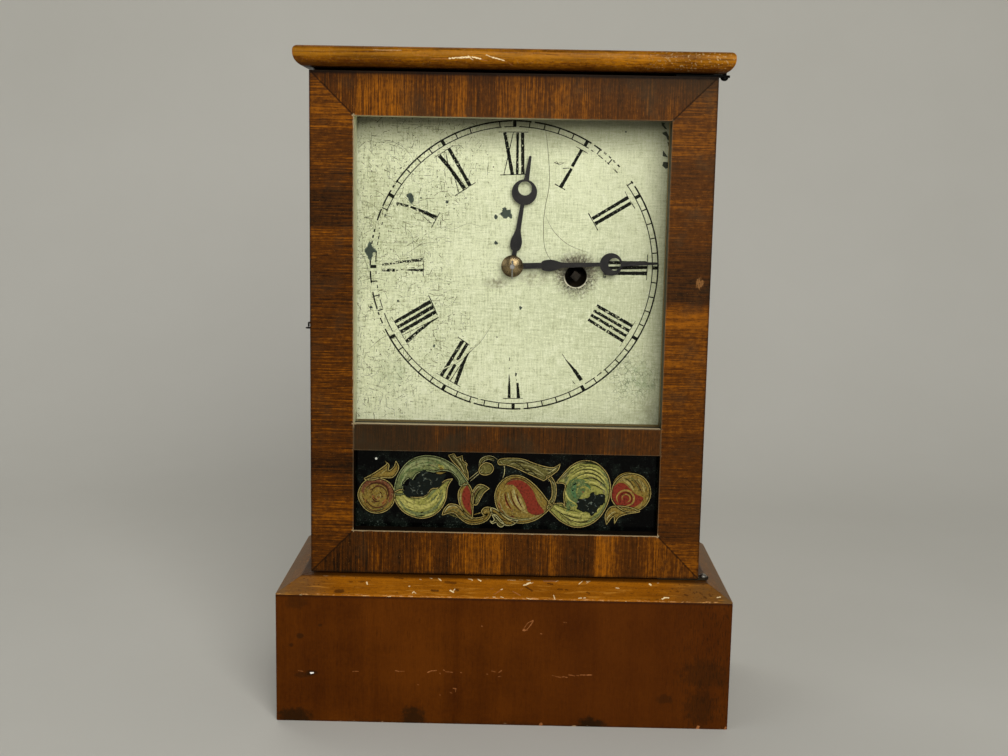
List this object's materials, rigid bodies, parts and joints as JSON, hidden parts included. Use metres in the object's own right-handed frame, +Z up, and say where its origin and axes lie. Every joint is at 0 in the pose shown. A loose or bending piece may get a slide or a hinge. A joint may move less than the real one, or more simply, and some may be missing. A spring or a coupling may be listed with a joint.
{
  "type": "cottage shelf clock",
  "caption": "Flat-topped veneered cottage clock on a bevelled plinth, with a glazed hinged door, Roman dial, moon hands and a spring-driven pendulum movement.",
  "frame": {"origin": "middle of the footprint, on the surface that the plinth stands on", "axes": "+Z up, -Y towards the viewer of the dial, +X to the right of the dial"},
  "size_m": [0.234, 0.108, 0.343],
  "materials": {
    "veneer_case": "gloss",
    "veneer_top": "gloss",
    "veneer_door": "gloss",
    "veneer_plinth": "gloss",
    "veneer_bevel": "gloss",
    "pine": "matt",
    "clear_glass": "polished",
    "painted_glass": "gloss",
    "dial_paint": "satin",
    "blued_steel": "satin",
    "brass_fittings": "aged",
    "iron_wire": "aged",
    "movement_brass": "satin",
    "movement_steel": "satin"
  },
  "bodies": {
    "case": {"plinth_front": "veneer_plinth", "plinth_side_left": "veneer_plinth", "plinth_side_right": "veneer_plinth", "base_moulding_front": "veneer_bevel", "base_moulding_left": "veneer_bevel", "base_moulding_right": "veneer_bevel", "glue_blocks": "pine", "case_floor": "pine", "case_side_left": "veneer_case", "case_side_right": "veneer_case", "back_board": "pine", "top_board": "veneer_top", "hinge_pins": "brass_fittings", "hook_pin": "brass_fittings", "dial_plate": "dial_paint", "dial_cleats": "pine", "dial_pins": "brass_fittings", "front_plate": "movement_brass", "back_plate": "movement_brass", "pillars": "movement_brass", "pillar_nuts": "movement_brass", "movement_blocks": "pine", "movement_screws": "movement_steel", "escape_bridge": "movement_brass", "suspension_post": "movement_brass", "mainspring": "movement_steel"},
    "door": {"door_top_rail": "veneer_door", "door_bottom_rail": "veneer_door", "door_mid_rail": "veneer_door", "door_stile_left": "veneer_door", "door_stile_right": "veneer_door", "dial_glass": "clear_glass", "tablet_glass": "painted_glass", "glazing_beads": "pine", "hinge_straps": "brass_fittings", "hinge_nails": "iron_wire", "door_eye": "iron_wire"},
    "hook": {"latch_hook": "iron_wire"},
    "centre_train": {"centre_arbor": "movement_steel", "centre_wheel": "movement_brass", "centre_pinion": "movement_brass", "cannon_pinion": "movement_brass", "minute_hand": "blued_steel", "hand_washer": "brass_fittings", "taper_pin": "movement_steel"},
    "minute_work": {"minute_wheel": "movement_brass"},
    "hour_work": {"hour_wheel": "movement_brass", "hour_hand": "blued_steel"},
    "great_train": {"great_wheel": "movement_brass", "click_spring": "movement_brass"},
    "click_lever": {"click": "movement_steel"},
    "winding": {"winding_arbor": "movement_steel", "ratchet_wheel": "movement_steel"},
    "third_train": {"third_arbor": "movement_steel", "third_wheel": "movement_brass"},
    "escape_train": {"escape_arbor": "movement_steel", "escape_wheel": "movement_brass"},
    "verge_lever": {"verge": "movement_steel"},
    "pendulum": {"pendulum_rod": "movement_steel", "pendulum_bob": "movement_brass"}
  },
  "joints": [
    {"name": "door_swing", "type": "hinge", "parent": "case", "child": "door", "pos_m": [0.1039, -0.036, 0.075], "axis": [0, 0, 1], "range_deg": [0, 150]},
    {"name": "hook_lift", "type": "hinge", "parent": "case", "child": "hook", "pos_m": [-0.1027, -0.006, 0.2039], "axis": [-1, 0, 0], "range_deg": [-3.4, 95]},
    {"name": "minute_turn", "type": "hinge", "parent": "case", "child": "centre_train", "pos_m": [0.001, 0, 0.2358], "axis": [0, 1, 0], "continuous": true},
    {"name": "hour_turn", "type": "hinge", "parent": "case", "child": "hour_work", "pos_m": [0.001, 0, 0.2358], "axis": [0, 1, 0], "continuous": true},
    {"name": "minute_wheel_turn", "type": "hinge", "parent": "case", "child": "minute_work", "pos_m": [0.001, 0, 0.2238], "axis": [0, 1, 0], "continuous": true},
    {"name": "great_wheel_turn", "type": "hinge", "parent": "case", "child": "great_train", "pos_m": [0.0341, 0, 0.23079], "axis": [0, 1, 0], "continuous": true},
    {"name": "third_wheel_turn", "type": "hinge", "parent": "case", "child": "third_train", "pos_m": [-0.01872, 0, 0.24519], "axis": [0, 1, 0], "continuous": true},
    {"name": "escape_wheel_turn", "type": "hinge", "parent": "case", "child": "escape_train", "pos_m": [-0.008, 0, 0.2573], "axis": [0, 1, 0], "continuous": true},
    {"name": "winding", "type": "hinge", "parent": "great_train", "child": "winding", "pos_m": [0.0341, 0, 0.23079], "axis": [0, 1, 0], "continuous": true},
    {"name": "click_lift", "type": "hinge", "parent": "great_train", "child": "click_lever", "pos_m": [0.02979, 0, 0.21895], "axis": [0, -1, 0], "range_deg": [0, 8]},
    {"name": "pendulum_swing", "type": "hinge", "parent": "case", "child": "pendulum", "pos_m": [-0.008, -0.008, 0.2802], "axis": [0, 1, 0], "range_deg": [-3, 3]},
    {"name": "verge_swing", "type": "hinge", "parent": "case", "child": "verge_lever", "pos_m": [-0.008, 0, 0.2733], "axis": [0, 1, 0], "range_deg": [-3.94, 3.94]}
  ],
  "couplings": [
    {"joint": "hour_turn", "follows": "minute_turn", "ratio": 0.083333},
    {"joint": "minute_wheel_turn", "follows": "minute_turn", "ratio": -0.33333},
    {"joint": "great_wheel_turn", "follows": "minute_turn", "ratio": -0.16667},
    {"joint": "third_wheel_turn", "follows": "minute_turn", "ratio": -12},
    {"joint": "escape_wheel_turn", "follows": "minute_turn", "ratio": 120},
    {"joint": "verge_swing", "follows": "pendulum_swing", "ratio": 1.3136}
  ]
}
